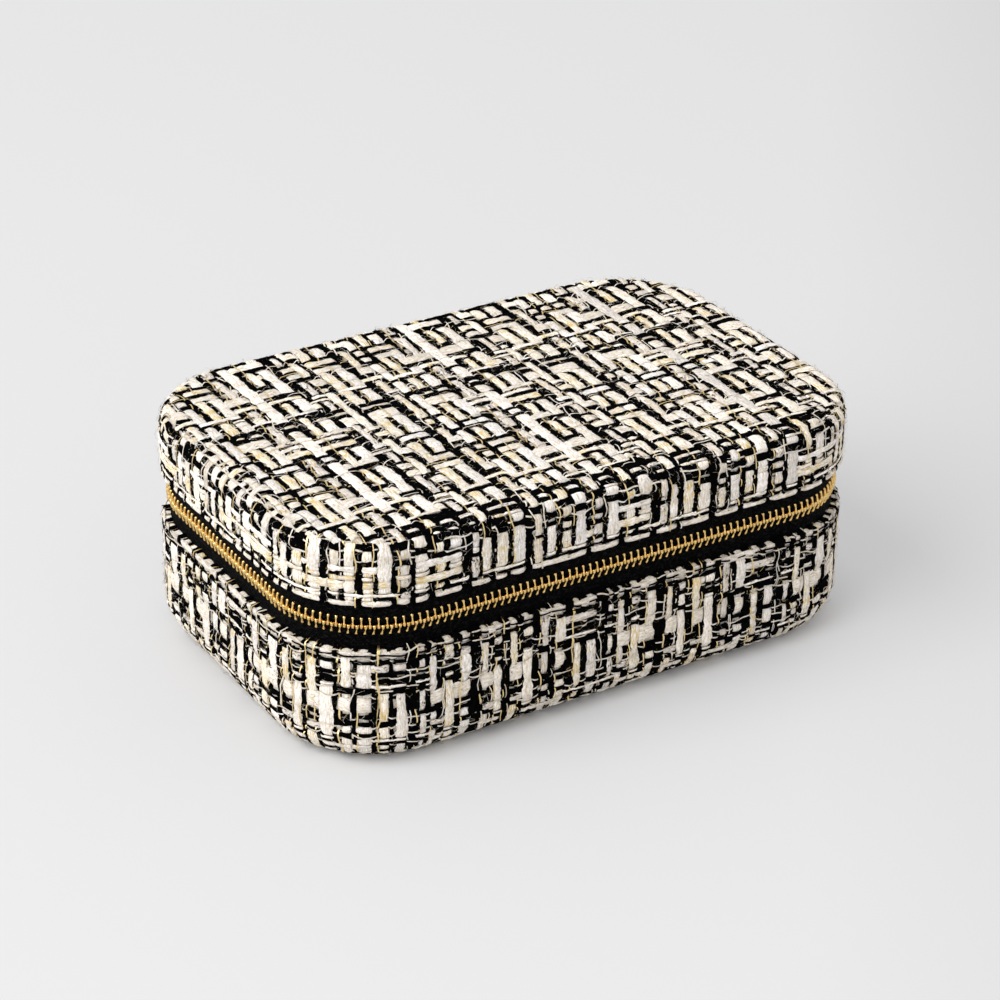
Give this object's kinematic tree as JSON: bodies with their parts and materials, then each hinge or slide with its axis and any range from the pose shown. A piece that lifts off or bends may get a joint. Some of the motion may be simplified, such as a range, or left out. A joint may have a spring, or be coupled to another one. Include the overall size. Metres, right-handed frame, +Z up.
{
  "type": "travel jewelry box",
  "caption": "Padded hard case for jewelry, rounded corners, tweed covered, zipped round front and sides, with a mirror lid, ring rolls and lift-out dividers.",
  "frame": {"origin": "centre of the flat underside", "axes": "+X along the length to the end where the slider is parked, +Y to the hinge at the back, +Z up; the front is at -Y"},
  "size_m": [0.2044, 0.133, 0.076],
  "materials": {
    "tweed": "thick ribbon tweed, black, cream and white with fine gold thread",
    "foam": "thin soft foam sheet",
    "board": "pressed board, glued",
    "velvet": "champagne short-pile velvet",
    "velvet_rolls": "champagne short-pile velvet over soft filling",
    "zip_tape": "black woven herringbone tape",
    "gold_teeth": "polished gold-coloured metal",
    "gold_slider": "polished gold-coloured metal",
    "mirror_glass": "silvered glass"
  },
  "bodies": {
    "base": {"base_cover": "tweed", "base_padding": "foam", "base_board": "board", "base_lining": "velvet", "lower_zip_tape": "zip_tape", "hinge_strip": "zip_tape", "hinge_strip_lining": "velvet", "lower_teeth": "gold_teeth", "lower_teeth_right_side": "gold_teeth", "zip_bottom_stop": "gold_teeth", "lower_top_stop": "gold_teeth", "long_partition": "velvet", "ring_section_walls": "velvet", "ring_rolls": "velvet_rolls", "divider_guides": "velvet"},
    "lid": {"lid_cover": "tweed", "lid_padding": "foam", "lid_board": "board", "lid_lining": "velvet", "upper_zip_tape": "zip_tape", "upper_teeth": "gold_teeth", "upper_teeth_right_side": "gold_teeth", "upper_top_stop": "gold_teeth", "mirror_frame": "velvet", "mirror": "mirror_glass"},
    "slider": {"slider": "gold_slider"},
    "pull_link": {"pull_link": "gold_slider"},
    "pull_plate": {"pull_plate": "gold_slider"},
    "left_divider": {"left_divider": "velvet"},
    "right_divider": {"right_divider": "velvet"}
  },
  "joints": [
    {"name": "lid_hinge", "type": "hinge", "parent": "base", "child": "lid", "pos_m": [0, 0.0665, 0.0475], "axis": [-1, 0, 0], "range_deg": [0, 170], "deforming": ["hinge_strip", "hinge_strip_lining"]},
    {"name": "slider_travel", "type": "slide", "parent": "base", "child": "slider", "axis": [0, -1, 0], "range_m": [0, 0.04], "deforming": ["lower_teeth_right_side", "upper_teeth_right_side"]},
    {"name": "link_swing", "type": "hinge", "parent": "slider", "child": "pull_link", "pos_m": [0.10205, 0.01825, 0.0475], "axis": [0, -1, 0], "range_deg": [0, 180]},
    {"name": "plate_swing", "type": "hinge", "parent": "pull_link", "child": "pull_plate", "pos_m": [0.10205, 0.01825, 0.0418], "axis": [1, 0, 0], "range_deg": [-90, 90]},
    {"name": "left_divider_lift", "type": "slide", "parent": "base", "child": "left_divider", "axis": [0, 0, 1], "range_m": [0, 0.028]},
    {"name": "right_divider_lift", "type": "slide", "parent": "base", "child": "right_divider", "axis": [0, 0, 1], "range_m": [0, 0.028]}
  ]
}
